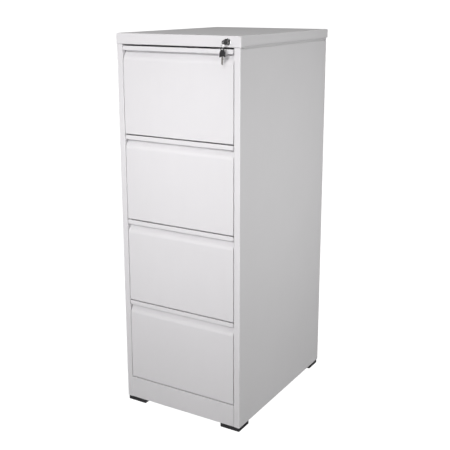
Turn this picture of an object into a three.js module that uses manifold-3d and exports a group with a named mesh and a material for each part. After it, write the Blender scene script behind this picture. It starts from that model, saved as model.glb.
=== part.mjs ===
// Four-drawer steel filing cabinet with a lock in the top rail, a key in it and a spare key on its ring.
// Millimetres. X is the width, Y the depth from the front plane to the back, Z the height above the floor.
// The outer group then moves the middle of the whole box onto the origin, at floor level.
import * as THREE from "three";
import { mergeVertices } from "three/addons/utils/BufferGeometryUtils.js";
import Module from "manifold-3d";

const wasm = await Module();
wasm.setup();

// ---- driving dimensions ----
const HEIGHT = 1320; // floor to the top of the cap
const BODY_WIDTH = 470; // across the side panels
const BODY_DEPTH = 632; // front plane to the back panel
const DRAWERS = 4;
const SHEET = 1.2; // folded steel of the case and the fronts
const GAP = 0.3; // between pieces that touch
const PAST = 1; // how far a cut runs past what it cuts, and a joined block into its neighbour

const CAP_SIDE = 2.5; // how far the cap stands out past each side panel
const CAP_BACK = 8; // and past the back panel
const CAP_SKIRT = 30.5; // height of the cap's side and back flanges
const RAIL_HEIGHT = 35.5; // height of the cap's front flange, the top rail
const RAIL_RETURN = 15; // fold under the top rail

const FOOT_HEIGHT = 15;
const FOOT_LONG = 76; // along the front
const FOOT_DEEP = 70; // along the side
const FOOT_INSET = 1;
const FOOT_CHAMFER = 4;

const STILE_WIDTH = 22; // front face of each side panel
const STILE_RETURN = 19;
const REAR_FLANGE = 20;

const PLINTH_HEIGHT = 78.5;
const PLINTH_RETURN = 18;
const PLINTH_GAP = 3; // over the plinth
const RAIL_GAP = 4; // under the top rail
const DRAWER_GAP = 2; // between one drawer front and the next
const SIDE_GAP = 2; // between a drawer front and the stile

const LIP_HEIGHT = 15; // the rolled lip that the fingers pull on
const PULL_HEIGHT = 50; // top of a front to the end of the bend under the pull
const PULL_DEPTH = 20; // how far the finger groove goes in
const PULL_BEND = 25; // radius of the bend below the groove
const PULL_SLOPE = THREE.MathUtils.degToRad(40); // lean of the groove's lower wall
const BEND_STEPS = 6;

const TRAY_WALL = 1;
const TRAY_LIFT = 12; // tray's floor above the bottom of its front
const TRAY_SIDE_DROP = 42.5; // top of a drawer front to the top of the tray's sides
const TRAY_BACK_DROP = 82.5; // and to the top of its back
const TRAY_FRONT_DROP = 25; // and to the top of its front wall
const TRAY_BACK_ROOM = 20.5; // behind a closed tray
const FOLDER_RAIL_INSET = 7.5; // tray's outer face to the inner face of each hanging-file rail
const FOLDER_RAIL_HEIGHT = 10;

const SLIDE_FRONT_ROOM = 4.8; // back of a drawer front to the slides
const SLIDE_BACK_ROOM = 6; // behind the slides
const SLIDE_HEIGHT = 100; // middle of a slide above the bottom of its front
const SLIDE_THICKNESS = 12.6; // tray to post, all three members
const CASE_MEMBER = 45; // height of each member
const MIDDLE_MEMBER = 36;
const TRAY_MEMBER = 27;
const BALL_ROOM = 1.5; // between the webs of two members
const MEMBER_INSET = 2; // how much shorter the inner members are at each end
const FLANGE_CLEAR = 2; // between a member's flanges and the tray's member's web

const POST_WIDTH = 40; // along the depth
const POST_SETBACK = 60; // front plane to the front posts
const REAR_POST_FROM_BACK = 47; // back of the rear posts to the back panel
const POST_FLANGE = 12;
const POST_TOP_ROOM = 2; // under the cap's stiffener

const LOCK_FROM_SIDE = 43.5; // lock axis to the side panel
const LOCK_FROM_TOP = 18.5;
const BARREL_RADIUS = 9;
const BARREL_LENGTH = 24; // behind the rail's front face
const BEZEL_RADIUS = 11;
const BEZEL_PROUD = 2.4;
const NUT_ACROSS = 23;
const NUT_THICKNESS = 4;
const PLUG_RADIUS = 6;
const TURN_CLEARANCE = 0.3; // round the plug
const CAM_THROW = 7; // lock axis to the cam's pin
const CAM_THICKNESS = 2.5;
const CAM_PIN_RADIUS = 1.5;
const CAM_PIN_LENGTH = 6;
const CAM_EDGE = 2; // round the pin
const CAM_REST = THREE.MathUtils.degToRad(225); // the pin starts low on the left and ends high on the left

const KEY_LENGTH = 31; // grip, from shoulder to end
const KEY_SHOULDER = 19; // width at the blade
const KEY_END = 11; // width at the eye
const KEY_NECK = 3; // length of the collar round the blade
const KEY_NOTCH = 3; // from the collar to the shoulder's corner
const KEY_CORNER = 1.5; // chamfer of the shoulder
const KEY_WAIST = 12; // shoulder to where the grip begins to narrow
const KEY_GRIP_THICKNESS = 3.4;
const EYE_THICKNESS = 1.6;
const EYE_RADIUS = 3.4; // of the hole
const EYE_EDGE = 5.2; // hole centre to the end
const BLADE_LENGTH = 23;
const BLADE_WIDTH = 6;
const BLADE_THICKNESS = 1.8;
const BLADE_TIP = 2.5; // length of its point
const BLADE_BITS = [[2.5, 1], [6, 1.6], [9, 0.4], [13, 1.8], [16, 0]]; // back from the tip, depth of cut
const KEY_STANDOFF = 0.8; // bezel to the grip's shoulder
const RING_RADIUS = 11.5; // middle of the wire
const RING_WIRE = 0.7; // radius of the wire
const RING_TURN = THREE.MathUtils.degToRad(45); // the ring's plane, turned from the front plane
const RING_LEAN = THREE.MathUtils.degToRad(45); // round the ring from its top to where it is held

const BAR_THICKNESS = 3; // lock bar, across the cabinet
const BAR_WIDTH = 20; // and along its depth
const BAR_SETBACK = 24;
const BAR_ROOM = 2.1; // slides to the bar
const BAR_FOOT = 150; // floor to the bar's lower end
const HOOK_ROOM = 4; // between a hook and the tray
const HOOK_HEIGHT = 14;
const HOOK_THICKNESS = 2;
const HOOK_ABOVE_SLIDE = 88; // middle of a slide to the top of the hook over it
const CATCH_CLEAR = 2; // a lowered hook to the catch above it, and a raised one to the catch behind it
const CATCH_SIZE = [8.4, 4, 12]; // out from the tray, along the depth, up
const ARM_HEIGHT = 18;
const ARM_THICKNESS = 2;
const ARM_ROOM = 2; // cam to the arm
const ARM_END = 7; // arm past the cam's pin
const ARM_CLEARANCE = 0.7; // round the cam's pin
const GUIDE_THICKNESS = 8;
const GUIDE_WALL = 4;
const LOWER_GUIDE_UP = 30; // bar's lower end to the lower guide
const UPPER_GUIDE_DOWN = 60; // bottom of the top rail to the upper guide

const STIFFENER_WIDTH = 90;
const STIFFENER_WING = 15;
const STIFFENER_DROP = 14;

// ---- sizes that follow ----
const capHalf = BODY_WIDTH / 2 + CAP_SIDE;
const bodyHalf = BODY_WIDTH / 2;
const capDepth = BODY_DEPTH + CAP_BACK;
const capUnder = HEIGHT - SHEET;
const railBottom = HEIGHT - RAIL_HEIGHT;
const plinthTop = FOOT_HEIGHT + PLINTH_HEIGHT;
const openingHalf = bodyHalf - STILE_WIDTH;
const frontHalf = openingHalf - SIDE_GAP;
const frontsHeight = railBottom - RAIL_GAP - plinthTop - PLINTH_GAP;
const frontHeight = (frontsHeight - (DRAWERS - 1) * DRAWER_GAP) / DRAWERS;
const frontDepth = PULL_DEPTH + SHEET;
const slideOuter = openingHalf + SHEET - GAP; // outer face of the case member
const trayHalf = slideOuter - SLIDE_THICKNESS - GAP;
const trayFront = frontDepth + GAP;
const postInner = slideOuter + GAP;
const rearPost = BODY_DEPTH - REAR_POST_FROM_BACK - POST_WIDTH;
const slideStart = frontDepth + SLIDE_FRONT_ROOM;
const slideEnd = BODY_DEPTH - SLIDE_BACK_ROOM;
const lockX = bodyHalf - LOCK_FROM_SIDE;
const lockZ = HEIGHT - LOCK_FROM_TOP;
const keyShoulderY = -BEZEL_PROUD - KEY_STANDOFF;
const eyeY = keyShoulderY - KEY_LENGTH + EYE_EDGE;
const keyReach = KEY_LENGTH + KEY_STANDOFF + BEZEL_PROUD; // in front of the front plane
const barX = slideOuter + BAR_ROOM;
const hookAt = SLIDE_HEIGHT + HOOK_ABOVE_SLIDE; // top of a hook above the bottom of its drawer front

// ---- small modelling kit ----
function solid(geometry) {
  const bare = geometry.clone();
  bare.deleteAttribute("normal");
  bare.deleteAttribute("uv");
  const merged = mergeVertices(bare, 1e-4);
  return new wasm.Manifold(
    new wasm.Mesh({
      numProp: 3,
      vertProperties: merged.attributes.position.array,
      triVerts: new Uint32Array(merged.index.array),
    }),
  );
}

function geometryOf(manifold) {
  const mesh = manifold.getMesh();
  const geometry = new THREE.BufferGeometry();
  geometry.setAttribute("position", new THREE.BufferAttribute(mesh.vertProperties, 3));
  geometry.setIndex(new THREE.BufferAttribute(mesh.triVerts, 1));
  geometry.computeVertexNormals();
  return geometry;
}

const join = (...pieces) => geometryOf(pieces.map(solid).reduce((a, b) => a.add(b)));
const cut = (piece, ...tools) => geometryOf(tools.map(solid).reduce((a, b) => a.subtract(b), solid(piece)));

// A block between two corners.
function block([x0, x1], [y0, y1], [z0, z1]) {
  const shape = new THREE.BoxGeometry(x1 - x0, y1 - y0, z1 - z0);
  return shape.translate((x0 + x1) / 2, (y0 + y1) / 2, (z0 + z1) / 2);
}

const outline = (points) => new THREE.Shape(points.map(([a, b]) => new THREE.Vector2(a, b)));

// An outline in X and Y, drawn up from z0 to z1.
function upright(points, [z0, z1]) {
  const shape = new THREE.ExtrudeGeometry(outline(points), { depth: z1 - z0, bevelEnabled: false });
  return shape.translate(0, 0, z0);
}

// An outline in Y and Z, drawn across from x0 to x1.
function across(points, [x0, x1]) {
  const shape = new THREE.ExtrudeGeometry(outline(points), { depth: x1 - x0, bevelEnabled: false });
  const turn = new THREE.Matrix4().makeBasis(
    new THREE.Vector3(0, 1, 0),
    new THREE.Vector3(0, 0, 1),
    new THREE.Vector3(1, 0, 0),
  );
  return shape.applyMatrix4(turn).translate(x0, 0, 0);
}

// An outline in X and Z, drawn back from y0 to y1.
function inward(points, [y0, y1]) {
  const shape = new THREE.ExtrudeGeometry(outline(points), { depth: y1 - y0, bevelEnabled: false });
  const turn = new THREE.Matrix4().makeBasis(
    new THREE.Vector3(1, 0, 0),
    new THREE.Vector3(0, 0, 1),
    new THREE.Vector3(0, -1, 0),
  );
  return shape.applyMatrix4(turn).translate(0, y1, 0);
}

// The closed outline of a folded strip: its path, and the same path moved right of it by the thickness.
function folded(path, thickness) {
  const directions = path.slice(1).map(([a, b], i) => {
    const run = [a - path[i][0], b - path[i][1]];
    const length = Math.hypot(...run);
    return [run[0] / length, run[1] / length];
  });
  const moved = path.map(([a, b], i) => {
    const before = directions[Math.max(i - 1, 0)];
    const after = directions[Math.min(i, directions.length - 1)];
    const sum = [before[1] + after[1], -before[0] - after[0]];
    const square = sum[0] ** 2 + sum[1] ** 2;
    const reach = (2 * thickness) / square;
    return [a + sum[0] * reach, b + sum[1] * reach];
  });
  return [...path, ...moved.reverse()];
}

const mirrored = (points) => points.map(([x, y]) => [-x, y]);

// A round bar along Y.
function roundY(radius, [y0, y1], x = 0, z = 0, segments = 32) {
  const bar = new THREE.CylinderGeometry(radius, radius, y1 - y0, segments);
  return bar.translate(x, (y0 + y1) / 2, z);
}

// ---- the assembly ----
const cabinet = new THREE.Group();
cabinet.position.set(0, -(capDepth - keyReach) / 2, 0);

const paint = (color, roughness) => new THREE.MeshStandardMaterial({ color, roughness, metalness: 0 });
const metal = (color, roughness) => new THREE.MeshStandardMaterial({ color, roughness, metalness: 1 });
const powderCoat = () => paint(0xe6e6e8, 0.45);
const zincPlate = () => metal(0xb9bcc0, 0.35);
const chrome = () => metal(0xd8d8da, 0.15);
const blackPlastic = () => paint(0x17171a, 0.5);
const blackRubber = () => paint(0x101012, 0.8);

function add(name, geometry, material) {
  const mesh = new THREE.Mesh(geometry, material);
  mesh.name = name;
  cabinet.add(mesh);
  return mesh;
}

// ---- case ----
// A pan cut from one block: its inside, the room over the rail's return fold, and the strip below the skirts.
function topCap() {
  const inside = [-capHalf + SHEET, capHalf - SHEET];
  const wide = [-capHalf - PAST, capHalf + PAST];
  const pan = block([-capHalf, capHalf], [0, capDepth], [railBottom, HEIGHT]);
  return cut(
    pan,
    block(inside, [SHEET, capDepth - SHEET], [railBottom + SHEET, capUnder]),
    block(inside, [RAIL_RETURN, capDepth - SHEET], [railBottom - PAST, railBottom + 2 * SHEET]),
    block(wide, [STILE_RETURN, capDepth + PAST], [railBottom - PAST, HEIGHT - CAP_SKIRT]),
    roundY(BARREL_RADIUS + GAP, [-PAST, SHEET + PAST], lockX, lockZ),
  );
}

function sidePanel(side) {
  const rear = BODY_DEPTH - SHEET - GAP;
  const flange = [[bodyHalf - REAR_FLANGE, rear], [bodyHalf, rear]];
  const stile = [[bodyHalf, 0], [openingHalf, 0], [openingHalf, STILE_RETURN]];
  const full = folded([...stile.reverse(), ...flange.reverse()], -SHEET);
  const upper = folded([[bodyHalf, STILE_RETURN], [bodyHalf, rear], [bodyHalf - REAR_FLANGE, rear]], -SHEET);
  const turn = side < 0 ? mirrored : (points) => points;
  return join(
    upright(turn(full), [FOOT_HEIGHT, railBottom - GAP]),
    upright(turn(upper), [railBottom - 2 * GAP, capUnder - GAP]),
  );
}

function plinth() {
  const path = [[PLINTH_RETURN, FOOT_HEIGHT], [0, FOOT_HEIGHT], [0, plinthTop], [PLINTH_RETURN, plinthTop]];
  return across(folded(path, SHEET), [-openingHalf + GAP, openingHalf - GAP]);
}

function bottomPan() {
  const half = bodyHalf - SHEET - GAP;
  const front = SHEET + GAP;
  const level = FOOT_HEIGHT + SHEET + GAP;
  const back = BODY_DEPTH - 2 * SHEET - 2 * GAP;
  const floor = block([-half, half], [STILE_RETURN + GAP, back], [level, level + SHEET]);
  const tongue = openingHalf - GAP;
  const toe = block([-tongue, tongue], [front, STILE_RETURN + 2 * GAP], [level, level + SHEET]);
  return join(floor, toe);
}

function backPanel() {
  return block(
    [-bodyHalf, bodyHalf],
    [BODY_DEPTH - SHEET, BODY_DEPTH],
    [FOOT_HEIGHT, capUnder - GAP],
  );
}

function capStiffener() {
  const top = capUnder - GAP;
  const half = STIFFENER_WIDTH / 2;
  const path = [
    [-half - STIFFENER_WING, top],
    [-half, top],
    [-half, top - STIFFENER_DROP],
    [half, top - STIFFENER_DROP],
    [half, top],
    [half + STIFFENER_WING, top],
  ];
  return inward(folded(path, SHEET), [POST_SETBACK, rearPost + POST_WIDTH]);
}

// A corner pad with its outer upright edges chamfered.
function foot(side, end) {
  const outerX = bodyHalf - FOOT_INSET;
  const innerX = outerX - FOOT_LONG;
  const outerY = end > 0 ? BODY_DEPTH - FOOT_INSET : FOOT_INSET;
  const innerY = outerY - end * FOOT_DEEP;
  const corners = [
    [outerX - FOOT_CHAMFER, outerY],
    [outerX, outerY - end * FOOT_CHAMFER],
    [outerX, innerY],
    [innerX, innerY],
    [innerX, outerY],
  ];
  const placed = side < 0 ? mirrored(corners) : corners;
  const facing = side * end > 0 ? placed.reverse() : placed;
  return upright(facing, [0, FOOT_HEIGHT - GAP]);
}

function post(side, front) {
  const wall = bodyHalf - 2 * SHEET - GAP;
  const path = [
    [wall, front - POST_FLANGE],
    [wall, front],
    [postInner, front],
    [postInner, front + POST_WIDTH],
    [wall, front + POST_WIDTH],
    [wall, front + POST_WIDTH + POST_FLANGE],
  ];
  const section = folded(path, SHEET);
  const bottom = FOOT_HEIGHT + 2 * SHEET + 2 * GAP;
  const top = capUnder - STIFFENER_DROP - POST_TOP_ROOM;
  return upright(side < 0 ? mirrored(section) : section, [bottom, top]);
}

const sides = { left: -1, right: 1 };
const ends = { front: -1, rear: 1 };

add("top_cap", topCap(), powderCoat());
add("back_panel", backPanel(), powderCoat());
add("bottom_pan", bottomPan(), powderCoat());
add("plinth", plinth(), powderCoat());
add("cap_stiffener", capStiffener(), zincPlate());
for (const [side, s] of Object.entries(sides)) {
  add(`side_panel_${side}`, sidePanel(s), powderCoat());
  for (const [end, e] of Object.entries(ends)) {
    add(`foot_${end}_${side}`, foot(s, e), blackRubber());
    add(`slide_post_${end}_${side}`, post(s, e < 0 ? POST_SETBACK : rearPost), zincPlate());
  }
}

// ---- drawers ----
function pullPath() {
  const bendStart = frontHeight - PULL_HEIGHT;
  const bend = [];
  for (let i = 0; i <= BEND_STEPS; i++) {
    const angle = (PULL_SLOPE * i) / BEND_STEPS;
    bend.push([PULL_BEND * (1 - Math.cos(angle)), bendStart + PULL_BEND * Math.sin(angle)]);
  }
  const [bendY, bendZ] = bend[BEND_STEPS];
  const slopeTop = bendZ + (PULL_DEPTH - bendY) / Math.tan(PULL_SLOPE);
  return [...bend, [PULL_DEPTH, slopeTop]];
}

function drawerFront(bottom) {
  const rise = ([y, z]) => [y, z + bottom];
  const face = pullPath();
  const under = frontHeight - SHEET;
  const sheet = [
    [frontDepth, 0],
    [0, 0],
    ...face,
    [PULL_DEPTH, under],
    [SHEET, under],
    [SHEET, frontHeight - LIP_HEIGHT],
  ];
  const end = [[0, 0], ...face, [PULL_DEPTH, frontHeight], [frontDepth, frontHeight], [frontDepth, 0]];
  return join(
    across(folded(sheet, SHEET).map(rise), [-frontHalf, frontHalf]),
    across(end.map(rise).reverse(), [-frontHalf, -frontHalf + SHEET]),
    across(end.map(rise).reverse(), [frontHalf - SHEET, frontHalf]),
  );
}

function tray(bottom) {
  const floor = bottom + TRAY_LIFT;
  const top = bottom + frontHeight;
  const sideTop = top - TRAY_SIDE_DROP;
  const back = BODY_DEPTH - TRAY_BACK_ROOM;
  const inner = trayHalf - TRAY_WALL;
  const railInner = trayHalf - FOLDER_RAIL_INSET;
  const run = [trayFront, back];
  const trough = [[trayHalf, sideTop], [trayHalf, floor], [-trayHalf, floor], [-trayHalf, sideTop]];
  const section = folded(trough, TRAY_WALL);
  const rails = [-1, 1].flatMap((side) => {
    const span = (a, b) => [side * a, side * b].sort((low, high) => low - high);
    const shelf = [sideTop - TRAY_WALL, sideTop];
    const lip = [sideTop - TRAY_WALL, sideTop + FOLDER_RAIL_HEIGHT];
    return [
      block(span(railInner, trayHalf), run, shelf),
      block(span(railInner, railInner + TRAY_WALL), run, lip),
    ];
  });
  const width = [-inner - TRAY_WALL / 2, inner + TRAY_WALL / 2];
  const frontWall = block(width, [trayFront, trayFront + TRAY_WALL], [floor, top - TRAY_FRONT_DROP]);
  const backWall = block(width, [back - TRAY_WALL, back], [floor, top - TRAY_BACK_DROP]);
  const catchBottom = bottom + hookAt + CATCH_CLEAR;
  const catchFront = BAR_SETBACK + BAR_WIDTH / 2 + HOOK_THICKNESS / 2 + CATCH_CLEAR;
  const lockCatch = block(
    [trayHalf - TRAY_WALL / 2, trayHalf + CATCH_SIZE[0]],
    [catchFront, catchFront + CATCH_SIZE[1]],
    [catchBottom, catchBottom + CATCH_SIZE[2]],
  );
  return join(inward(section, run), ...rails, frontWall, backWall, lockCatch);
}

// One rolled channel of a slide: a web at "from", with flanges that run to "to", open towards "to".
function channel(side, from, to, height, middle, [y0, y1]) {
  const open = Math.sign(to - from);
  const half = height / 2;
  const path = [[to, middle - half], [from, middle - half], [from, middle + half], [to, middle + half]];
  const section = folded(path, open > 0 ? SHEET : -SHEET);
  return inward(side < 0 ? mirrored(section) : section, [y0, y1]);
}

const caseRun = [slideStart, slideEnd];
const innerRun = [slideStart + MEMBER_INSET, slideEnd - MEMBER_INSET];
const flangeEnd = trayHalf + GAP + FLANGE_CLEAR;
const middleWeb = slideOuter - SHEET - BALL_ROOM;
const trayWeb = trayHalf + GAP;

for (let n = 1; n <= DRAWERS; n++) {
  const bottom = plinthTop + PLINTH_GAP + (DRAWERS - n) * (frontHeight + DRAWER_GAP);
  const middle = bottom + SLIDE_HEIGHT;
  add(`drawer_front_${n}`, drawerFront(bottom), powderCoat());
  add(`drawer_tray_${n}`, tray(bottom), powderCoat());
  for (const [side, s] of Object.entries(sides)) {
    const caseChannel = channel(s, slideOuter, flangeEnd, CASE_MEMBER, middle, caseRun);
    const middleChannel = channel(s, middleWeb, flangeEnd, MIDDLE_MEMBER, middle, innerRun);
    const trayChannel = channel(s, trayWeb, middleWeb - SHEET - BALL_ROOM, TRAY_MEMBER, middle, innerRun);
    add(`slide_case_member_${n}_${side}`, caseChannel, zincPlate());
    add(`slide_middle_member_${n}_${side}`, middleChannel, zincPlate());
    add(`slide_tray_member_${n}_${side}`, trayChannel, zincPlate());
  }
}

// ---- lock ----
function barrel() {
  const body = roundY(BARREL_RADIUS, [-BEZEL_PROUD + PAST, BARREL_LENGTH]);
  const bezel = roundY(BEZEL_RADIUS, [-BEZEL_PROUD, -GAP]);
  const bore = roundY(PLUG_RADIUS + TURN_CLEARANCE, [-BEZEL_PROUD - PAST, BARREL_LENGTH + PAST]);
  return cut(join(body, bezel), bore).translate(lockX, 0, lockZ);
}

function nut() {
  const front = SHEET + GAP;
  const hexagon = roundY(NUT_ACROSS / Math.sqrt(3), [front, front + NUT_THICKNESS], 0, 0, 6);
  const bore = roundY(BARREL_RADIUS + GAP, [front - PAST, front + NUT_THICKNESS + PAST]);
  return cut(hexagon, bore).translate(lockX, 0, lockZ);
}

function plug() {
  const body = roundY(PLUG_RADIUS, [-BEZEL_PROUD, BARREL_LENGTH + GAP]);
  const high = BLADE_WIDTH / 2 + GAP;
  const wide = BLADE_THICKNESS / 2 + GAP;
  const end = BLADE_LENGTH + keyShoulderY + PAST;
  const keyway = block([-wide, wide], [-BEZEL_PROUD - PAST, end], [-high, high]);
  return cut(body, keyway).translate(lockX, 0, lockZ);
}

function cam() {
  const front = BARREL_LENGTH + 2 * GAP;
  const disc = roundY(CAM_THROW + CAM_PIN_RADIUS + CAM_EDGE, [front, front + CAM_THICKNESS]);
  const pinX = CAM_THROW * Math.cos(CAM_REST);
  const pinZ = CAM_THROW * Math.sin(CAM_REST);
  const pinRun = [front + CAM_THICKNESS / 2, front + CAM_THICKNESS + CAM_PIN_LENGTH];
  const pin = roundY(CAM_PIN_RADIUS, pinRun, pinX, pinZ, 16);
  return join(disc, pin).translate(lockX, 0, lockZ);
}

// A key lies in the Y-Z plane with its blade towards +Y and its shoulder at the origin.
function keyGrip() {
  const half = KEY_SHOULDER / 2;
  const endHalf = KEY_END / 2;
  const collar = BLADE_WIDTH / 2 + PAST;
  const eyeY0 = -KEY_LENGTH + EYE_EDGE;
  const points = [
    [-KEY_NECK, collar],
    [0, collar + KEY_NOTCH],
    [0, half - KEY_CORNER],
    [-KEY_CORNER, half],
    [-KEY_WAIST, half - KEY_CORNER / 3],
    [eyeY0 + EYE_EDGE, endHalf + PAST],
  ];
  const back = points.map(([y, z]) => [y, -z]).reverse();
  const thick = KEY_GRIP_THICKNESS / 2;
  const grip = across([...points, ...back], [-thick, thick]);
  const eyeThick = EYE_THICKNESS / 2;
  const tabCorner = 2;
  const tab = [
    [eyeY0 + 1.5 * EYE_EDGE, endHalf],
    [-KEY_LENGTH + tabCorner, endHalf],
    [-KEY_LENGTH, endHalf - tabCorner],
  ];
  const tabBack = tab.map(([y, z]) => [y, -z]).reverse();
  const eye = across([...tab, ...tabBack], [-eyeThick, eyeThick]);
  const hole = new THREE.CylinderGeometry(EYE_RADIUS, EYE_RADIUS, 2 * KEY_GRIP_THICKNESS, 24);
  hole.rotateZ(Math.PI / 2).translate(0, eyeY0, 0);
  return cut(join(grip, eye), hole);
}

function keyBlade() {
  const half = BLADE_WIDTH / 2;
  const heel = -KEY_NECK + GAP;
  const bits = BLADE_BITS.map(([back, depth]) => [BLADE_LENGTH - back, half - depth]);
  const tip = [[BLADE_LENGTH - BLADE_TIP, -half], [BLADE_LENGTH, 0]];
  return across([[heel, -half], ...tip, ...bits, [heel, half]], [-BLADE_THICKNESS / 2, BLADE_THICKNESS / 2]);
}

const keyPlace = new THREE.Matrix4().makeTranslation(lockX, keyShoulderY, lockZ);

// The ring passes through the key's eye, which sits part of the way round it from its top.
const ringAcross = new THREE.Vector3(-Math.cos(RING_TURN), Math.sin(RING_TURN), 0);
const eyeCentre = new THREE.Vector3(lockX, eyeY, lockZ);
const ringCentre = eyeCentre
  .clone()
  .addScaledVector(ringAcross, RING_RADIUS * Math.sin(RING_LEAN))
  .add(new THREE.Vector3(0, 0, -RING_RADIUS * Math.cos(RING_LEAN)));
const ringBottom = ringCentre.clone().add(new THREE.Vector3(0, 0, -RING_RADIUS));

function ring() {
  const turn = new THREE.Matrix4().makeBasis(
    ringAcross,
    new THREE.Vector3(0, 0, 1),
    ringAcross.clone().cross(new THREE.Vector3(0, 0, 1)),
  );
  const wire = new THREE.TorusGeometry(RING_RADIUS, RING_WIRE, 8, 40);
  return wire.applyMatrix4(turn).translate(...ringCentre);
}

// The spare key hangs by its eye from the ring's lowest point, square to the wire there.
const hang = new THREE.Matrix4()
  .makeTranslation(...ringBottom)
  .multiply(new THREE.Matrix4().makeRotationZ(-RING_TURN))
  .multiply(new THREE.Matrix4().makeRotationX(-Math.PI / 2))
  .multiply(new THREE.Matrix4().makeTranslation(0, KEY_LENGTH - EYE_EDGE, 0));

add("lock_barrel", barrel(), chrome());
add("lock_nut", nut(), zincPlate());
add("lock_plug", plug(), chrome());
add("lock_cam", cam(), zincPlate());
add("key_grip", keyGrip().applyMatrix4(keyPlace), blackPlastic());
add("key_blade", keyBlade().applyMatrix4(keyPlace), chrome());
add("key_ring", ring(), chrome());
add("spare_key_grip", keyGrip().applyMatrix4(hang), blackPlastic());
add("spare_key_blade", keyBlade().applyMatrix4(hang), chrome());

// ---- lock bar ----
function lockBar() {
  const barY = [BAR_SETBACK, BAR_SETBACK + BAR_WIDTH];
  const armMiddle = lockZ + CAM_THROW * Math.sin(CAM_REST);
  const armTop = armMiddle + ARM_HEIGHT / 2;
  const bar = block([barX, barX + BAR_THICKNESS], barY, [BAR_FOOT, armTop]);
  const hookY = BAR_SETBACK + BAR_WIDTH / 2;
  const hooks = [];
  for (let n = 0; n < DRAWERS; n++) {
    const top = plinthTop + PLINTH_GAP + n * (frontHeight + DRAWER_GAP) + hookAt;
    const hookRun = [hookY - HOOK_THICKNESS / 2, hookY + HOOK_THICKNESS / 2];
    hooks.push(block([trayHalf + HOOK_ROOM, barX + PAST], hookRun, [top - HOOK_HEIGHT, top]));
  }
  const armY = BARREL_LENGTH + 2 * GAP + CAM_THICKNESS + ARM_ROOM;
  const armRun = [armY, armY + ARM_THICKNESS];
  const arm = block([lockX - CAM_THROW - ARM_END, barX + PAST], armRun, [armTop - ARM_HEIGHT, armTop]);
  const slotHalf = CAM_PIN_RADIUS + ARM_CLEARANCE;
  const slot = block(
    [lockX - CAM_THROW - slotHalf, lockX + CAM_THROW * Math.cos(CAM_REST) + slotHalf],
    [armY - PAST, armY + ARM_THICKNESS + PAST],
    [armMiddle - slotHalf, armMiddle + slotHalf],
  );
  return cut(join(bar, arm, ...hooks), slot);
}

// A block on the side panel that the bar slides through.
function barGuide(bottom) {
  const z = [bottom, bottom + GUIDE_THICKNESS];
  const y = [BAR_SETBACK - GUIDE_WALL + GAP, BAR_SETBACK + BAR_WIDTH + GUIDE_WALL];
  const body = block([barX - GUIDE_WALL / 2, bodyHalf - SHEET - GAP], y, z);
  const way = block(
    [barX - TURN_CLEARANCE, barX + BAR_THICKNESS + TURN_CLEARANCE],
    [BAR_SETBACK - TURN_CLEARANCE, BAR_SETBACK + BAR_WIDTH + TURN_CLEARANCE],
    [bottom - PAST, bottom + GUIDE_THICKNESS + PAST],
  );
  return cut(body, way);
}

add("lock_bar", lockBar(), zincPlate());
add("lock_bar_guide_lower", barGuide(BAR_FOOT + LOWER_GUIDE_UP), blackPlastic());
add("lock_bar_guide_upper", barGuide(railBottom - UPPER_GUIDE_DOWN), blackPlastic());

export default cabinet;
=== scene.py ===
import math

import bmesh
import bpy
from mathutils import Matrix, Vector


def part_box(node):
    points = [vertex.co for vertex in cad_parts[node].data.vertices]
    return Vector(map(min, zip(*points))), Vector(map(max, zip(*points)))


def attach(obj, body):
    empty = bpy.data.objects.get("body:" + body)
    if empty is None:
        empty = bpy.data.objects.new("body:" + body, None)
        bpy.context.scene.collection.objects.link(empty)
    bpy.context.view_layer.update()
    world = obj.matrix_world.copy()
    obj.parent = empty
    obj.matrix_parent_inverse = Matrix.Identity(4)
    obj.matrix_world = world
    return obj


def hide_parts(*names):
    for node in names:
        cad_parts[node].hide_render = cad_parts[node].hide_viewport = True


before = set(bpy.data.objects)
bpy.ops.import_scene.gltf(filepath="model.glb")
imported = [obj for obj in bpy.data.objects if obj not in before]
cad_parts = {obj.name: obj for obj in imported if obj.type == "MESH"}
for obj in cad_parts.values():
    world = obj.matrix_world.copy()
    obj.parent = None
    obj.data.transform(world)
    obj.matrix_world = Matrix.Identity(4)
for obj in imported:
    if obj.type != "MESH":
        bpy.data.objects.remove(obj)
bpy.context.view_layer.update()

# ---- sizes in metres that the frame's boxes do not give ----
SHEET = 0.0012
TRAY_SHEET = 0.001
FOLD = 0.0016
SOFT_FOLD = 0.0022
CAP_SKIRT = 0.0305
RAIL_RETURN = 0.015
STILE_WIDTH = 0.022
STILE_RETURN = 0.0235
PANEL_GAP = 0.0003
REAR_FLANGE = 0.02
GROOVE_HIGH = 0.0065
GROOVE_DEEP = 0.005
POST_SHORTER = 0.026
PLINTH_RETURN = 0.018
BACK_FOLD = 0.0025
BACK_FRAME_INSET = 0.055
BACK_FRAME_SLOPES = (0.007, 0.012)
BACK_FRAME_WIDE = (0.02, 0.012)
BACK_FRAME_DEEP = 0.003
RIVET_INSET = 0.011
RIVET_ROWS = 7
BOTTOM_RIVETS = (-0.11, 0.0, 0.11)
RIVET_RADIUS = 0.0032
RIVET_HEIGHT = 0.0012
PAD_CORNER = 0.003
PAD_EDGE = 0.0008
RIB_PROUD = 0.0011
RIB_WIDE = 0.0022
RIB_PITCH = 0.0058
RIB_SLANT = 0.006
RIB_ENDS = 0.0045
RIB_ABOVE_FLOOR = 0.0015
RIB_BELOW_TOP = 0.001
RIB_EDGE = 0.0004
LIP_HEIGHT = 0.015
LIP_CORNER = 0.0055
HEM_DEPTH = 0.0026
HEM_HEIGHT = 0.006
HEM_ABOVE = 0.004
HEM_FOLD = 0.0012
HEM_CLEAR = 0.0005
PULL_HEIGHT = 0.05
PULL_DEPTH = 0.02
PULL_BEND = 0.025
PULL_SLOPE = math.radians(40)
FRONT_EASE = 0.0008
FLANGE_DIP = 0.002
BEND_STEPS = 8
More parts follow.
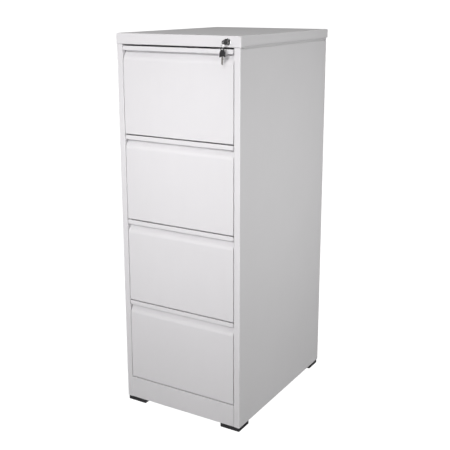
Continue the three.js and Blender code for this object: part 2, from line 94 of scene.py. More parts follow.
TRAY_LIFT = 0.012
TRAY_SIDE_DROP = 0.0425
TRAY_BACK_DROP = 0.0825
TRAY_FRONT_DROP = 0.025
TRAY_WALL_FLANGE = 0.009
FOLDER_RAIL_INSET = 0.0065
FOLDER_RAIL_HEIGHT = 0.01
SWAGE_UP = 0.175
SWAGE_INSET = 0.03
SWAGE_SQUEEZE = 0.3
SWAGE_DEEP = 0.002
SCREW_ACROSS = (0.06, 0.165)
SCREW_UP = (0.035, 0.175)
SCREW_RADIUS = 0.0042
SCREW_HEIGHT = 0.0022
CATCH_BEHIND = 0.037
CATCH_UP = 0.19
CATCH_THICK = 0.004
CATCH_HIGH = 0.012
CATCH_EDGE = 0.0006
SLOT_ENDS = 0.06
SLOT_PITCH = 0.04
SLOT_LONG = 0.024
SLOT_WIDE = 0.004
SLIDE_FOLD = 0.0026
BARREL_RADIUS = 0.009
BEZEL_RADIUS = 0.011
PLUG_RADIUS = 0.006
LOCK_SLACK = 0.0003
PAST = 0.001
RING_WIRE = 0.00036
RING_WIRE_INSET = 0.0007
TINY = 1e-5

DRAWERS = (1, 2, 3, 4)
SIDES = {"left": -1, "right": 1}
FRONT_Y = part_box("drawer_front_1")[0].y


# ---- camera ----
def add_camera():
    azimuth, elevation, roll = (math.radians(a) for a in (30.952, 13.705, -0.097))
    back = Vector((math.sin(azimuth) * math.cos(elevation), -math.cos(azimuth) * math.cos(elevation),
                   math.sin(elevation)))
    right = Vector((math.cos(azimuth), math.sin(azimuth), 0))
    up = back.cross(right)
    across = math.cos(roll) * right + math.sin(roll) * up
    camera = bpy.data.objects.new("camera", bpy.data.cameras.new("camera"))
    camera.matrix_world = (Matrix.Translation((1.4548, -2.4277, 1.4315))
                           @ Matrix((across, back.cross(across), back)).transposed().to_4x4())
    camera.data.sensor_width = 36
    camera.data.lens = 64.2
    camera.data.shift_y = -0.07
    camera.data.clip_end = 50
    bpy.context.scene.collection.objects.link(camera)
    bpy.context.scene.camera = camera


add_camera()


# ---- modelling kit ----
def alone(piece):
    bpy.ops.object.select_all(action="DESELECT")
    piece.select_set(True)
    bpy.context.view_layer.objects.active = piece


def editing(piece):
    alone(piece)
    bpy.ops.object.mode_set(mode="EDIT")
    bpy.ops.mesh.select_mode(type="VERT")


def done():
    bpy.ops.object.mode_set(mode="OBJECT")


def pick(piece, kind, test):
    """Selects in edit mode the verts, edges or faces that pass the test."""
    bpy.ops.mesh.select_mode(type={"verts": "VERT", "edges": "EDGE", "faces": "FACE"}[kind])
    bpy.ops.mesh.select_all(action="DESELECT")
    shape = bmesh.from_edit_mesh(piece.data)
    shape.normal_update()
    for item in getattr(shape, kind):
        if test(item):
            item.select_set(True)
    shape.select_flush_mode()
    bmesh.update_edit_mesh(piece.data)


def at(axis, where):
    """A test: every corner lies at that place along the axis."""
    number = "xyz".index(axis)

    def test(item):
        corners = item.verts if hasattr(item, "verts") else [item]
        return all(abs(v.co[number] - where) < TINY for v in corners)
    return test


def both(*tests):
    return lambda item: all(test(item) for test in tests)


def pull(move):
    bpy.ops.mesh.extrude_region_move(TRANSFORM_OT_translate={"value": move})


def modify(piece, kind, **settings):
    alone(piece)
    modifier = piece.modifiers.new(kind.lower(), kind)
    for key, value in settings.items():
        setattr(modifier, key, value)
    bpy.ops.object.modifier_apply(modifier=modifier.name)


def rounded(piece, width, segments=3, angle=30):
    modify(piece, "BEVEL", width=width, segments=segments, limit_method="ANGLE",
           angle_limit=math.radians(angle), use_clamp_overlap=True)


def smooth(piece, angle=35):
    alone(piece)
    bpy.ops.object.shade_smooth_by_angle(angle=math.radians(angle))
    modify(piece, "WEIGHTED_NORMAL", keep_sharp=True)


def strip(name, corner, run, legs):
    """A folded strip: the first leg is a plane, and each later leg is pulled out of its last edge.
    Its faces point along run x leg, which is the side that shows."""
    run, first = Vector(run), Vector(legs[0])
    bpy.ops.object.select_all(action="DESELECT")
    bpy.ops.mesh.primitive_plane_add(size=1)
    piece = bpy.context.object
    piece.name = piece.data.name = name
    axes = Matrix((run, first, run.cross(first).normalized())).transposed().to_4x4()
    piece.matrix_world = Matrix.Translation(Vector(corner) + (run + first) / 2) @ axes
    bpy.ops.object.transform_apply(location=True, rotation=True, scale=True)
    editing(piece)
    end = Vector(corner) + first
    pick(piece, "edges", lambda e: all(abs((v.co - end).dot(first.normalized())) < TINY for v in e.verts))
    for leg in legs[1:]:
        pull(leg)
    bpy.ops.mesh.select_all(action="SELECT")
    bpy.ops.mesh.remove_doubles(threshold=TINY)
    done()
    return piece


def thickened(piece, fold=FOLD, sheet=SHEET, segments=3):
    """Rounds the folds and gives the sheet its thickness, on the side away from its faces."""
    rounded(piece, fold, segments)
    modify(piece, "SOLIDIFY", thickness=sheet, offset=-1)
    smooth(piece)
    return piece


def box_of(name, low, high):
    """A block between two corners, to be shaped further."""
    low, high = Vector(low), Vector(high)
    bpy.ops.object.select_all(action="DESELECT")
    bpy.ops.mesh.primitive_cube_add(size=1, location=(low + high) / 2)
    piece = bpy.context.object
    piece.name = piece.data.name = name
    piece.scale = high - low
    bpy.ops.object.transform_apply(location=True, rotation=True, scale=True)
    return piece


def slit(axis, where):
    """Cuts all the faces along a plane across the axis, in edit mode."""
    normal = Vector([float(letter == axis) for letter in "xyz"])
    bpy.ops.mesh.select_mode(type="FACE")
    bpy.ops.mesh.select_all(action="SELECT")
    bpy.ops.mesh.bisect(plane_co=normal * where, plane_no=normal)


def turned(name, centre, profile, segments=48):
    """A closed turned piece along y: a disc of the first radius, drawn out from radius to radius."""
    along = Vector((0, 1, 0))
    centre = Vector(centre)
    radius, depth = profile[0]
    bpy.ops.object.select_all(action="DESELECT")
    bpy.ops.mesh.primitive_circle_add(vertices=segments, radius=radius, fill_type="NGON",
                                      location=centre + along * depth, rotation=(math.pi / 2, 0, 0))
    piece = bpy.context.object
    piece.name = piece.data.name = name
    bpy.ops.object.transform_apply(location=True, rotation=True, scale=True)
    editing(piece)
    bpy.ops.mesh.select_all(action="SELECT")
    for next_radius, next_depth in profile[1:]:
        pull(along * (next_depth - depth))
        ratio = next_radius / radius
        bpy.ops.transform.resize(value=(ratio, ratio, ratio), center_override=centre + along * next_depth)
        radius, depth = next_radius, next_depth
    bpy.ops.mesh.select_all(action="SELECT")
    bpy.ops.mesh.normals_make_consistent(inside=False)
    done()
    return piece


def cut_out(piece, *tools):
    for tool in tools:
        modify(piece, "BOOLEAN", operation="DIFFERENCE", object=tool, solver="EXACT")
        bpy.data.objects.remove(tool)
    return piece


def joined(name, *pieces):
    bpy.ops.object.select_all(action="DESELECT")
    for piece in pieces:
        piece.select_set(True)
    bpy.context.view_layer.objects.active = pieces[0]
    bpy.ops.object.join()
    whole = bpy.context.object
    whole.name = whole.data.name = name
    return whole


def copy_of(piece, name, move=(0, 0, 0)):
    twin = piece.copy()
    twin.data = piece.data.copy()
    twin.name = twin.data.name = name
    bpy.context.scene.collection.objects.link(twin)
    twin.data.transform(Matrix.Translation(move))
    return twin


def softened(node, name, width, segments=2):
    """A copy of a CAD node with its corners rounded."""
    piece = copy_of(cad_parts[node], name)
    piece.parent = None
    for key in list(piece.keys()):
        del piece[key]
    editing(piece)
    bpy.ops.mesh.select_all(action="SELECT")
    bpy.ops.mesh.remove_doubles(threshold=TINY)
    bpy.ops.mesh.dissolve_limited(angle_limit=math.radians(1))
    done()
    rounded(piece, width, segments)
    smooth(piece)
    return piece


def place(piece, body, slot, material, *nodes):
    piece.data.materials.clear()
    piece.data.materials.append(material)
    if nodes:
        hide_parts(*nodes)
    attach(piece, body)
    return piece


# ---- materials ----
def group(name, inputs, outputs):
    tree = bpy.data.node_groups.new(name, "ShaderNodeTree")
    for label, kind, value in inputs:
        socket = tree.interface.new_socket(name=label, in_out="INPUT", socket_type=kind)
        if value is not None:
            socket.default_value = value
    for label, kind in outputs:
        tree.interface.new_socket(name=label, in_out="OUTPUT", socket_type=kind)
    return tree, tree.nodes.new("NodeGroupInput"), tree.nodes.new("NodeGroupOutput")


def node(tree, kind, **settings):
    made = tree.nodes.new("ShaderNode" + kind)
    for key, value in settings.items():
        setattr(made, key, value)
    return made


def noise(tree, where, scale, detail=2.0, roughness=0.5):
    made = node(tree, "TexNoise")
    made.inputs["Detail"].default_value = detail
    made.inputs["Roughness"].default_value = roughness
    tree.links.new(where, made.inputs["Vector"])
    if isinstance(scale, (int, float)):
        made.inputs["Scale"].default_value = scale
    else:
        tree.links.new(scale, made.inputs["Scale"])
    return made.outputs["Fac"]


def maths(tree, operation, a, b):
    made = node(tree, "Math", operation=operation)
    for value, socket in zip((a, b), made.inputs):
        if isinstance(value, (int, float)):
            socket.default_value = value
        else:
            tree.links.new(value, socket)
    return made.outputs[0]


def spread(tree, value, low, high):
    """A 0 to 1 pattern turned into values from low to high."""
    made = node(tree, "MapRange")
    tree.links.new(value, made.inputs["Value"])
    for label, bound in (("From Min", 0.3), ("From Max", 0.7), ("To Min", low), ("To Max", high)):
        if isinstance(bound, (int, float)):
            made.inputs[label].default_value = bound
        else:
            tree.links.new(bound, made.inputs[label])
    return made.outputs["Result"]


def grain_group():
    """Fine bumps in two sizes: orange peel in a coat, or the skin of moulded plastic and rubber."""
    tree, given, out = group(
        "surface_grain",
        [("Scale", "NodeSocketFloat", 700.0), ("Depth", "NodeSocketFloat", 0.00004)],
        [("Normal", "NodeSocketVector")],
    )
    where = node(tree, "TexCoord").outputs["Object"]
    coarse = noise(tree, where, given.outputs["Scale"], 1.5)
    fine = noise(tree, where, maths(tree, "MULTIPLY", given.outputs["Scale"], 3.7), 1.0)
    height = maths(tree, "ADD", coarse, maths(tree, "MULTIPLY", fine, 0.35))
    bump = node(tree, "Bump")
    tree.links.new(maths(tree, "MULTIPLY", height, given.outputs["Depth"]), bump.inputs["Height"])
    bump.inputs["Strength"].default_value = 1.0
    bump.inputs["Distance"].default_value = 1.0
    tree.links.new(bump.outputs["Normal"], out.inputs["Normal"])
    return tree


def handling_group():
    """Broad soft patches: where a surface has been wiped and handled, a little lighter and duller."""
    tree, given, out = group(
        "handling_marks",
        [("Colour", "NodeSocketColor", (0.8, 0.8, 0.8, 1)), ("Amount", "NodeSocketFloat", 0.03),
         ("Roughness", "NodeSocketFloat", 0.4)],
        [("Colour", "NodeSocketColor"), ("Roughness", "NodeSocketFloat")],
    )
    where = node(tree, "TexCoord").outputs["Object"]
    broad = noise(tree, where, 4.0, 3.0, 0.6)
    streaks = node(tree, "Mapping")
    streaks.inputs["Scale"].default_value = (1.0, 1.0, 0.25)
    tree.links.new(where, streaks.inputs["Vector"])
    wiped = noise(tree, streaks.outputs["Vector"], 26.0, 4.0, 0.65)
    mixed = maths(tree, "ADD", maths(tree, "MULTIPLY", broad, 0.6), maths(tree, "MULTIPLY", wiped, 0.4))
    low = maths(tree, "SUBTRACT", 1.0, given.outputs["Amount"])
    tint = node(tree, "VectorMath", operation="SCALE")
    tree.links.new(given.outputs["Colour"], tint.inputs[0])
    tree.links.new(spread(tree, mixed, low, 1.0), tint.inputs["Scale"])
    tree.links.new(tint.outputs["Vector"], out.inputs["Colour"])
    rough = maths(tree, "ADD", given.outputs["Roughness"],
                  maths(tree, "MULTIPLY", maths(tree, "SUBTRACT", wiped, 0.5), 0.25))
    tree.links.new(rough, out.inputs["Roughness"])
    return tree


def brush_group():
    """Fine lines along one direction, as rolling or polishing leaves."""
    tree, given, out = group(
        "drawn_lines",
        [("Direction", "NodeSocketVector", (1.0, 0.02, 1.0)), ("Depth", "NodeSocketFloat", 0.00001)],
        [("Normal", "NodeSocketVector")],
    )
    where = node(tree, "TexCoord").outputs["Object"]
    along = node(tree, "VectorMath", operation="MULTIPLY")
    tree.links.new(where, along.inputs[0])
    tree.links.new(given.outputs["Direction"], along.inputs[1])
    lines = noise(tree, along.outputs["Vector"], 1400.0, 2.0)
    bump = node(tree, "Bump")
    tree.links.new(maths(tree, "MULTIPLY", lines, given.outputs["Depth"]), bump.inputs["Height"])
    bump.inputs["Distance"].default_value = 1.0
    tree.links.new(bump.outputs["Normal"], out.inputs["Normal"])
    return tree


GRAIN, HANDLING, BRUSH = grain_group(), handling_group(), brush_group()


def use(tree, shared, **values):
    made = tree.nodes.new("ShaderNodeGroup")
    made.node_tree = shared
    for label, value in values.items():
        made.inputs[label].default_value = value
    return made


def finish_of(name, colour, roughness, amount, texture, metallic=0.0, **values):
    """A material: colour and roughness from the handling marks, its normal from a texture group."""
    material = bpy.data.materials.new(name)
    material.use_nodes = True
    tree = material.node_tree
    shader = tree.nodes["Principled BSDF"]
    shader.inputs["Metallic"].default_value = metallic
    marks = use(tree, HANDLING, Colour=(*colour, 1), Amount=amount, Roughness=roughness)
    tree.links.new(marks.outputs["Colour"], shader.inputs["Base Color"])
    tree.links.new(marks.outputs["Roughness"], shader.inputs["Roughness"])
    surface = use(tree, texture, **values)
    tree.links.new(surface.outputs["Normal"], shader.inputs["Normal"])
    return material


powder_coat = finish_of("powder_coat", (0.78, 0.775, 0.785), 0.5, 0.03, GRAIN, Scale=620.0, Depth=0.00003)
zinc_plate = finish_of("zinc_plate", (0.62, 0.64, 0.66), 0.3, 0.12, BRUSH, metallic=1.0,
                       Direction=(1.0, 0.03, 1.0), Depth=0.000012)
chrome = finish_of("chrome", (0.82, 0.82, 0.83), 0.12, 0.06, BRUSH, metallic=1.0,
                   Direction=(0.3, 1.0, 0.3), Depth=0.000002)
black_plastic = finish_of("black_plastic", (0.018, 0.018, 0.02), 0.38, 0.3, GRAIN,
                          Scale=2200.0, Depth=0.00004)
black_rubber = finish_of("black_rubber", (0.012, 0.011, 0.014), 0.65, 0.3, GRAIN,
                         Scale=1500.0, Depth=0.00006)
nickel = finish_of("dull_nickel", (0.3, 0.285, 0.27), 0.3, 0.1, BRUSH, metallic=1.0,
                   Direction=(0.3, 1.0, 0.3), Depth=0.000003)


# ---- case ----
def cap():
    """The cap: a pan with side and back skirts, and the lock rail folded under at the front."""
    low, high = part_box("top_cap")
    piece = box_of("cap", low, high)
    skirt = high.z - CAP_SKIRT
    behind = low.y + STILE_RETURN
    editing(piece)
    slit("z", skirt)
    slit("y", behind)
    pick(piece, "faces", lambda f: f.normal.z < -0.9 or (
        f.calc_center_median().z < skirt and f.calc_center_median().y > behind))
    bpy.ops.mesh.delete(type="FACE")
    pick(piece, "edges", both(at("z", low.z), at("y", low.y)))
    pull((0, RAIL_RETURN, 0))
    done()
    thickened(piece, SOFT_FOLD, segments=4)
    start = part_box("lock_barrel")[0].y - RAIL_RETURN - FRONT_Y
    radius = BARREL_RADIUS + LOCK_SLACK
    hole = turned("hole", lock_centre(), [(radius, start), (radius, RAIL_RETURN / 2)])
    cut_out(piece, hole)
    smooth(piece)
    return place(piece, "case", "powder_coat", powder_coat, "top_cap")


def lock_centre():
    low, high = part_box("lock_plug")
    return Vector(((low.x + high.x) / 2, FRONT_Y, (low.z + high.z) / 2))


def side_panel(side):
    """A side with its stile and rear flange folded in, and a groove under the cap's skirt."""
    name = f"side_panel_{side}"
    s = SIDES[side]
    low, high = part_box(name)
    outer = high.x if s > 0 else low.x
    opening = outer - s * STILE_WIDTH
    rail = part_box("top_cap")[0].z - PANEL_GAP
    height = rail - low.z
    set_back = low.y + STILE_RETURN
    corner = (opening, set_back, rail if s > 0 else low.z)
    legs = [(0, -STILE_RETURN, 0), (s * STILE_WIDTH, 0, 0), (0, high.y - low.y, 0),
            (-s * REAR_FLANGE, 0, 0)]
    piece = strip(name + "_skin", corner, (0, 0, -s * height), legs)
    editing(piece)
    slit("y", set_back)
    top = at("z", rail)
    pick(piece, "edges", lambda e: top(e) and all(v.co.y > set_back - TINY for v in e.verts)
         and abs(e.verts[0].co.x - opening) > TINY)
    pull((0, 0, high.z - rail))
    done()
    thickened(piece, SOFT_FOLD, segments=4)
    groove = rail - GROOVE_HIGH
    editing(piece)
    for axis, cut in (("z", groove), ("z", groove + SHEET), ("y", set_back), ("y", set_back + SHEET)):
        slit(axis, cut)
    pick(piece, "verts", lambda v: v.co.z > groove + TINY and v.co.y > set_back + TINY
         and abs(v.co.x - outer) < GROOVE_DEEP)
    bpy.ops.transform.translate(value=(-s * GROOVE_DEEP, 0, 0))
    done()
    smooth(piece)
    return place(piece, "case", "powder_coat", powder_coat, name)


def plinth():
    low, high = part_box("plinth")
    height = high.z - low.z
    legs = [(0, -PLINTH_RETURN, 0), (0, 0, height), (0, PLINTH_RETURN, 0)]
    piece = strip("plinth_panel", (low.x, low.y + PLINTH_RETURN, low.z), (high.x - low.x, 0, 0), legs)
    thickened(piece, FOLD)
    return place(piece, "case", "powder_coat", powder_coat, "plinth")


def back_sheet():
    """The back panel, with a shallow pressed frame that stiffens it."""
    low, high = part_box("back_panel")
    piece = strip("back_sheet", (high.x, high.y, low.z), (low.x - high.x, 0, 0), [(0, 0, high.z - low.z)])
    editing(piece)
    pick(piece, "faces", lambda f: True)
    bpy.ops.mesh.inset(thickness=BACK_FRAME_INSET, use_even_offset=True)
    for slope, wide, deep in zip(BACK_FRAME_SLOPES, BACK_FRAME_WIDE, (-BACK_FRAME_DEEP, BACK_FRAME_DEEP)):
        bpy.ops.mesh.inset(thickness=slope)
        bpy.ops.mesh.inset(thickness=wide)
        bpy.ops.transform.translate(value=(0, deep, 0))
    done()
    thickened(piece, BACK_FOLD)
    pitch = (high.z - low.z - 4 * RIVET_INSET) / (RIVET_ROWS - 1)
    spots = [(s * (high.x - RIVET_INSET), high.y, low.z + RIVET_INSET + i * pitch)
             for s in (-1, 1) for i in range(RIVET_ROWS)]
    spots += [(x, high.y, low.z + RIVET_INSET) for x in BOTTOM_RIVETS]
    place(rivets("back_rivets", spots, RIVET_RADIUS, RIVET_HEIGHT), "case", "zinc_plate", zinc_plate)
    return place(piece, "case", "powder_coat", powder_coat, "back_panel")


def foot(end, side):
    """A rubber pad with slanted ribs on its two outer sides."""
    name = f"foot_{end}_{side}"
    low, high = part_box(name)
    s = SIDES[side]
    e = -1 if end == "front" else 1
    inner_low = low + Vector((RIB_PROUD if s < 0 else 0, RIB_PROUD if e < 0 else 0, 0))
    inner_high = high - Vector((RIB_PROUD if s > 0 else 0, RIB_PROUD if e > 0 else 0, 0))
    pad = box_of("pad", inner_low, inner_high)
    editing(pad)
    pick(pad, "edges", lambda edge: abs(edge.verts[0].co.z - edge.verts[1].co.z) > TINY)
    bpy.ops.mesh.bevel(offset=PAD_CORNER, segments=4)
    done()
    rounded(pad, PAD_EDGE, 2, 60)
    ribs = []
    for across, other, outer in (("x", "y", e), ("y", "x", s)):
        start, stop = getattr(low, across), getattr(high, across)
        face = getattr(high if outer > 0 else low, other)
        lean = Vector((0, 0, 0))
        setattr(lean, across, RIB_SLANT)
        count = int((stop - start - 2 * RIB_ENDS - RIB_SLANT) / RIB_PITCH) + 1
        for n in range(count):
            rib_low = Vector((0, 0, low.z + RIB_ABOVE_FLOOR))
            rib_high = Vector((0, 0, high.z - RIB_BELOW_TOP))
            setattr(rib_low, across, start + RIB_ENDS + n * RIB_PITCH)
            setattr(rib_high, across, start + RIB_ENDS + n * RIB_PITCH + RIB_WIDE)
            setattr(rib_low, other, min(face, face - outer * 2 * RIB_PROUD))
            setattr(rib_high, other, max(face, face - outer * 2 * RIB_PROUD))
            rib = box_of("rib", rib_low, rib_high)
            editing(rib)
            pick(rib, "verts", at("z", rib_high.z))
            bpy.ops.transform.translate(value=lean)
            bpy.ops.mesh.select_all(action="SELECT")
            bpy.ops.mesh.bevel(offset=RIB_EDGE, segments=2)
            done()
            ribs.append(rib)
    piece = joined(name + "_pad", pad, *ribs)
    smooth(piece)
    return place(piece, "case", "black_rubber", black_rubber, name)


# ---- drawers ----
def drawer_front():
    """The top drawer's front, with its returns, finger groove, lip and folded hem."""
    low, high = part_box("drawer_front_1")
    height = high.z - low.z
    bend_start = height - PULL_HEIGHT
    path = [(high.y - low.y, FRONT_EASE), (0, FRONT_EASE), (0, bend_start)]
    for i in range(1, BEND_STEPS + 1):
        angle = PULL_SLOPE * i / BEND_STEPS
        path.append((PULL_BEND * (1 - math.cos(angle)), bend_start + PULL_BEND * math.sin(angle)))
    y, z = path[-1]
    slope_top = z + (PULL_DEPTH - y) / math.tan(PULL_SLOPE)
    path.append((PULL_DEPTH, slope_top))
    under = height - FRONT_EASE - SHEET
    path += [(PULL_DEPTH, under - FLANGE_DIP), (SHEET, under), (SHEET, height - LIP_HEIGHT)]
    legs = [(0, b[0] - a[0], b[1] - a[1]) for a, b in zip(path, path[1:])]
    piece = strip("panel", (low.x, high.y, low.z + FRONT_EASE), (high.x - low.x, 0, 0), legs)
    editing(piece)
    lip_y = low.y + SHEET
    for end in (low.x, high.x):
        pick(piece, "verts", both(at("x", end), lambda v: v.co.z < low.z + slope_top + TINY))
        bpy.ops.mesh.edge_face_add()
    pick(piece, "verts", both(at("z", high.z - LIP_HEIGHT), at("y", lip_y)))
    bpy.ops.mesh.bevel(offset=LIP_CORNER, segments=5, affect="VERTICES")
    done()
    thickened(piece, FOLD)
    inset = LIP_CORNER + HEM_CLEAR
    hem = strip("hem", (low.x + inset, lip_y, high.z - LIP_HEIGHT + HEM_ABOVE),
                (high.x - low.x - 2 * inset, 0, 0),
                [(0, 0, SHEET - HEM_ABOVE), (0, HEM_DEPTH, 0), (0, 0, HEM_HEIGHT)])
    thickened(hem, HEM_FOLD)
    return joined("panel", piece, hem)


def tray():
    """The top drawer's tray: a folded trough, two end walls and the catch for the lock bar."""
    low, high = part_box("drawer_tray_1")
    front_low, front_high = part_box("drawer_front_1")
    floor = front_low.z + TRAY_LIFT
    side_top = front_high.z - TRAY_SIDE_DROP
    half = -low.x
    length = high.y - low.y
    lip_x = half - FOLDER_RAIL_INSET
    side = side_top - floor
    legs = [(0, 0, -FOLDER_RAIL_HEIGHT), (FOLDER_RAIL_INSET, 0, 0), (0, 0, -side), (-2 * half, 0, 0),
            (0, 0, side), (FOLDER_RAIL_INSET, 0, 0), (0, 0, FOLDER_RAIL_HEIGHT)]
    trough = strip("trough", (lip_x, high.y, side_top + FOLDER_RAIL_HEIGHT), (0, -length, 0), legs)
    editing(trough)
    for s in (-1, 1):
        pick(trough, "faces", at("x", s * half))
        bpy.ops.mesh.inset(thickness=SWAGE_INSET, use_even_offset=True)
        bpy.ops.transform.resize(value=(1, 1, SWAGE_SQUEEZE), center_override=(s * half, 0, floor + SWAGE_UP))
        bpy.ops.mesh.inset(thickness=SWAGE_DEEP, depth=-SWAGE_DEEP)
    done()
    thickened(trough, FOLD, TRAY_SHEET)
    inner = half - TRAY_SHEET
    front_wall = strip("front_wall", (-inner, low.y, floor + TRAY_SHEET), (2 * inner, 0, 0),
                       [(0, 0, front_high.z - TRAY_FRONT_DROP - floor - TRAY_SHEET),
                        (0, TRAY_WALL_FLANGE, 0)])
    back_wall = strip("back_wall", (inner, high.y, floor + TRAY_SHEET), (-2 * inner, 0, 0),
                      [(0, 0, front_high.z - TRAY_BACK_DROP - floor - TRAY_SHEET),
                       (0, -TRAY_WALL_FLANGE, 0)])
    for wall in (front_wall, back_wall):
        thickened(wall, FOLD, TRAY_SHEET)
    slots = []
    slot_y = low.y + SLOT_ENDS
    while slot_y < high.y - SLOT_ENDS:
        slots.append(box_of("slot", (-SLOT_LONG / 2, slot_y, floor - TRAY_SHEET),
                            (SLOT_LONG / 2, slot_y + SLOT_WIDE, floor + 2 * TRAY_SHEET)))
        slot_y += SLOT_PITCH
    cut_out(trough, joined("slots", *slots))
    smooth(trough)
    catch_low = Vector((half - TRAY_SHEET / 2, front_low.y + CATCH_BEHIND, front_low.z + CATCH_UP))
    catch = box_of("catch", catch_low, (high.x, catch_low.y + CATCH_THICK, catch_low.z + CATCH_HIGH))
    rounded(catch, CATCH_EDGE, 2)
    smooth(catch)
    return joined("tray", trough, front_wall, back_wall, catch)


def front_screws():
    """The screws through the tray's front wall, seen from inside the top drawer."""
    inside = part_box("drawer_tray_1")[0].y + TRAY_SHEET
    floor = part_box("drawer_front_1")[0].z + TRAY_LIFT
    spots = [(s * x, inside, floor + z) for s in (-1, 1) for x in SCREW_ACROSS for z in SCREW_UP]
    return rivets("screws", spots, SCREW_RADIUS, SCREW_HEIGHT)


def rivets(name, spots, radius, height):
    """Domed heads facing backwards, one turned and copied to each spot."""
    profile = [(radius * 0.2, height * 0.55), (radius * 0.3, height * 0.95), (radius * 0.62, height),
               (radius * 0.9, height * 0.55), (radius, 0.0), (radius, -0.0002)]
    head = turned("head", (0, 0, 0), profile, 16)
    smooth(head, 50)
    copies = [copy_of(head, f"head_{i}", spot) for i, spot in enumerate(spots)]
    bpy.data.objects.remove(head)
    return joined(name, *copies)


def slide_member(kind, side):
    """One rolled channel of the top slide. The tray's member opens outwards, the other two inwards."""
    s = SIDES[side]
    low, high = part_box(f"slide_{kind}_member_1_{side}")
    opens = s if kind == "tray" else -s
    start = high.x if opens > 0 else low.x
    depth = high.x - low.x
    corner = (start, high.y if opens > 0 else low.y, low.z)
    legs = [(-opens * depth, 0, 0), (0, 0, high.z - low.z), (opens * depth, 0, 0)]
    return thickened(strip("rail", corner, (0, -opens * (high.y - low.y), 0), legs), SLIDE_FOLD, segments=4)


def on_every_drawer(shape, names, bodies, slot, material, nodes=None):
    """Copies a piece of the top drawer to all four, each copy with its own mesh, and removes the first."""
    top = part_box("drawer_front_1")[0]
    for n in DRAWERS:
        piece = copy_of(shape, names.format(n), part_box(f"drawer_front_{n}")[0] - top)
        place(piece, bodies.format(n), slot, material, *([nodes.format(n)] if nodes else []))
    bpy.data.objects.remove(shape)


def drawers():
    on_every_drawer(drawer_front(), "drawer_front_{}_panel", "drawer_{}", "powder_coat", powder_coat,
                    "drawer_front_{}")
    on_every_drawer(tray(), "drawer_tray_{}_body", "drawer_{}", "powder_coat", powder_coat, "drawer_tray_{}")
    on_every_drawer(front_screws(), "front_screws_{}", "drawer_{}", "zinc_plate", zinc_plate)
    for side in SIDES:
        for kind, body in (("case", "case"), ("middle", "middle_slides_{}"), ("tray", "drawer_{}")):
            node_names = f"slide_{kind}_member_{{}}_{side}"
            on_every_drawer(slide_member(kind, side), node_names + "_rail", body, "zinc_plate", zinc_plate,
                            node_names)


# ---- lock and keys ----
def lock():
    centre = lock_centre()
    low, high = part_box("lock_barrel")
    front, back = low.y - centre.y, high.y - centre.y
    barrel = turned("barrel", centre, [
        (BEZEL_RADIUS - 0.0009, front), (BEZEL_RADIUS - 0.0003, front + 0.0002),
        (BEZEL_RADIUS, front + 0.0008), (BEZEL_RADIUS, -0.0003),
        (BARREL_RADIUS, -0.0002), (BARREL_RADIUS, back)], 64)
    bore_radius = PLUG_RADIUS + LOCK_SLACK
    bore = turned("bore", centre, [(bore_radius, front - PAST), (bore_radius, back + PAST)], 64)
    recess = turned("recess", centre, [
        (BEZEL_RADIUS - 0.0018, front - PAST), (BEZEL_RADIUS - 0.0026, front + 0.0006)], 64)
    cut_out(barrel, bore, recess)
    smooth(barrel, 40)
    place(barrel, "case", "chrome", chrome, "lock_barrel")

    low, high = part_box("lock_plug")
    front, back = low.y - centre.y, high.y - centre.y
    plug = turned("plug", centre, [
        (PLUG_RADIUS - 0.0005, front + 0.0002), (PLUG_RADIUS, front + 0.0007), (PLUG_RADIUS, back)], 64)
    blade_low, blade_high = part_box("key_blade")
    slack = Vector((LOCK_SLACK, 0, LOCK_SLACK))
    keyway = box_of("keyway", blade_low - slack, blade_high + slack + Vector((0, PAST, 0)))
    cut_out(plug, keyway)
    smooth(plug, 40)
    place(plug, "lock_plug", "chrome", chrome, "lock_plug")

    place(softened("lock_nut", "lock_nut_hex", 0.0004), "case", "zinc_plate", zinc_plate, "lock_nut")
    place(softened("lock_cam", "lock_cam_disc", 0.0003), "lock_plug", "zinc_plate", zinc_plate, "lock_cam")
    place(softened("lock_bar", "lock_bar_flat", 0.0004), "lock_bar", "zinc_plate", zinc_plate, "lock_bar")
    for level in ("lower", "upper"):
        name = f"lock_bar_guide_{level}"
        place(softened(name, name + "_block", 0.0005), "case", "black_plastic", black_plastic, name)


def keys():
    for prefix, body in (("", "lock_plug"), ("spare_", "spare_key")):
        grip = softened(prefix + "key_grip", prefix + "key_grip_moulding", 0.0005, 3)
        place(grip, body, "black_plastic", black_plastic, prefix + "key_grip")
        blade = softened(prefix + "key_blade", prefix + "key_blade_steel", 0.00015, 2)
        place(blade, body, "chrome", nickel, prefix + "key_blade")


def split_ring():
    """Two turns of spring wire side by side."""
    low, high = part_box("key_ring")
    centre = (low + high) / 2
    wire_middle = (high.z - low.z) / 2 - RING_WIRE_INSET
    axis = Vector((1, 1, 0)).normalized()
    turns = []
    for side in (-1, 1):
        bpy.ops.object.select_all(action="DESELECT")
        bpy.ops.mesh.primitive_torus_add(major_radius=wire_middle, minor_radius=RING_WIRE, major_segments=72,
                                         minor_segments=10, location=centre + axis * side * RING_WIRE * 0.98,
                                         rotation=(math.pi / 2, 0, math.radians(135)))
        bpy.ops.object.transform_apply(location=True, rotation=True, scale=True)
        turns.append(bpy.context.object)
    ring = joined("split_ring", *turns)
    smooth(ring)
    return place(ring, "key_ring", "chrome", chrome, "key_ring")


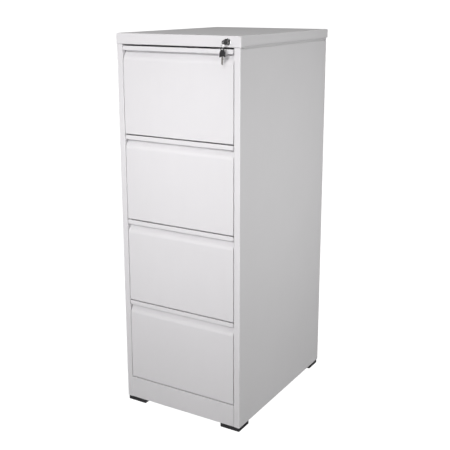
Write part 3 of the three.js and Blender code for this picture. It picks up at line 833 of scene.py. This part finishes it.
def inner_steel():
    """Posts, stiffener and bottom pan. The posts end below the groove in the side panels."""
    for end in ("front", "rear"):
        for side in SIDES:
            name = f"slide_post_{end}_{side}"
            post = softened(name, name + "_channel", 0.0012)
            post_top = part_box(name)[1].z
            editing(post)
            pick(post, "verts", lambda v: v.co.z > post_top - POST_SHORTER / 2)
            bpy.ops.transform.translate(value=(0, 0, -POST_SHORTER))
            done()
            place(post, "case", "zinc_plate", zinc_plate, name)
    place(softened("cap_stiffener", "cap_stiffener_channel", 0.0012), "case", "zinc_plate", zinc_plate,
          "cap_stiffener")
    place(softened("bottom_pan", "bottom_pan_sheet", 0.0003, 1), "case", "powder_coat", powder_coat,
          "bottom_pan")


cap()
plinth()
back_sheet()
inner_steel()
for side in SIDES:
    side_panel(side)
    for end in ("front", "rear"):
        foot(end, side)
drawers()
lock()
keys()
split_ring()


# ---- studio ----
WHITE = 1.1
FLOOR_IN_METAL = 0.7


def area_light(name, where, aim, size, power, colour=(1, 1, 1), spread=180):
    light = bpy.data.lights.new(name, "AREA")
    light.shape = "RECTANGLE"
    light.size, light.size_y = size
    light.energy = power
    light.color = colour
    light.spread = math.radians(spread)
    lamp = bpy.data.objects.new(name, light)
    lamp.location = where
    lamp.rotation_euler = (Vector(aim) - Vector(where)).to_track_quat("-Z", "Y").to_euler()
    lamp.visible_camera = False
    bpy.context.scene.collection.objects.link(lamp)


def mixed(tree, amount, lit, seen, surface):
    """Joins two shaders to the output: seen where amount is 1, lit where it is 0."""
    mix = node(tree, "MixShader")
    tree.links.new(amount, mix.inputs["Fac"])
    tree.links.new(lit, mix.inputs[1])
    tree.links.new(seen, mix.inputs[2])
    tree.links.new(mix.outputs["Shader"], surface)


def paper_floor():
    """A pale floor that looks white, lights the object only a little, and shows in metal."""
    bpy.ops.object.select_all(action="DESELECT")
    bpy.ops.mesh.primitive_plane_add(size=30, location=(0, 0, 0))
    floor = bpy.context.object
    floor.name = "floor"
    material = bpy.data.materials.new("floor_paper")
    material.use_nodes = True
    tree = material.node_tree
    paper = tree.nodes["Principled BSDF"]
    paper.inputs["Base Color"].default_value = (0.3, 0.3, 0.3, 1)
    paper.inputs["Roughness"].default_value = 1.0
    paper.inputs["Specular IOR Level"].default_value = 0.0
    glow = node(tree, "Emission")
    glow.inputs["Strength"].default_value = WHITE
    path = node(tree, "LightPath")
    in_metal = maths(tree, "MULTIPLY", path.outputs["Is Glossy Ray"], FLOOR_IN_METAL)
    seen = maths(tree, "MAXIMUM", path.outputs["Is Camera Ray"], in_metal)
    mixed(tree, seen, paper.outputs["BSDF"], glow.outputs["Emission"],
          tree.nodes["Material Output"].inputs["Surface"])
    floor.data.materials.append(material)


def studio_air():
    world = bpy.data.worlds.new("studio_air")
    world.use_nodes = True
    bpy.context.scene.world = world
    tree = world.node_tree
    air = tree.nodes["Background"]
    air.inputs["Color"].default_value = (1.0, 0.992, 0.98, 1)
    air.inputs["Strength"].default_value = 0.34
    bright = node(tree, "Background")
    bright.inputs["Strength"].default_value = WHITE
    bright.inputs["Color"].default_value = (1, 1, 1, 1)
    path = node(tree, "LightPath")
    mixed(tree, path.outputs["Is Camera Ray"], air.outputs["Background"], bright.outputs["Background"],
          tree.nodes["World Output"].inputs["Surface"])


def studio():
    paper_floor()
    studio_air()
    area_light("key", (1.1, -4.1, 3.0), (0, -0.3, 1.05), (0.4, 0.4), 5.1, (1.0, 0.985, 1.0), 45)
    area_light("edge", (-2.2, -3.6, 2.4), (0, -0.3, 0.9), (0.4, 0.4), 6)
    area_light("low", (0.3, -4.0, 1.0), (0, -0.3, 0.95), (1.2, 1.0), 4.3, (1.0, 0.98, 1.0), 45)
    area_light("fill", (3.2, -0.3, 1.6), (0.24, 0.0, 0.8), (1.0, 1.0), 3.3, (1, 1, 1), 50)
    area_light("behind", (-2.4, 2.6, 0.85), (-0.1, 0.1, 0.7), (0.8, 0.8), 30)
    bpy.context.scene.view_settings.view_transform = "Standard"


studio()
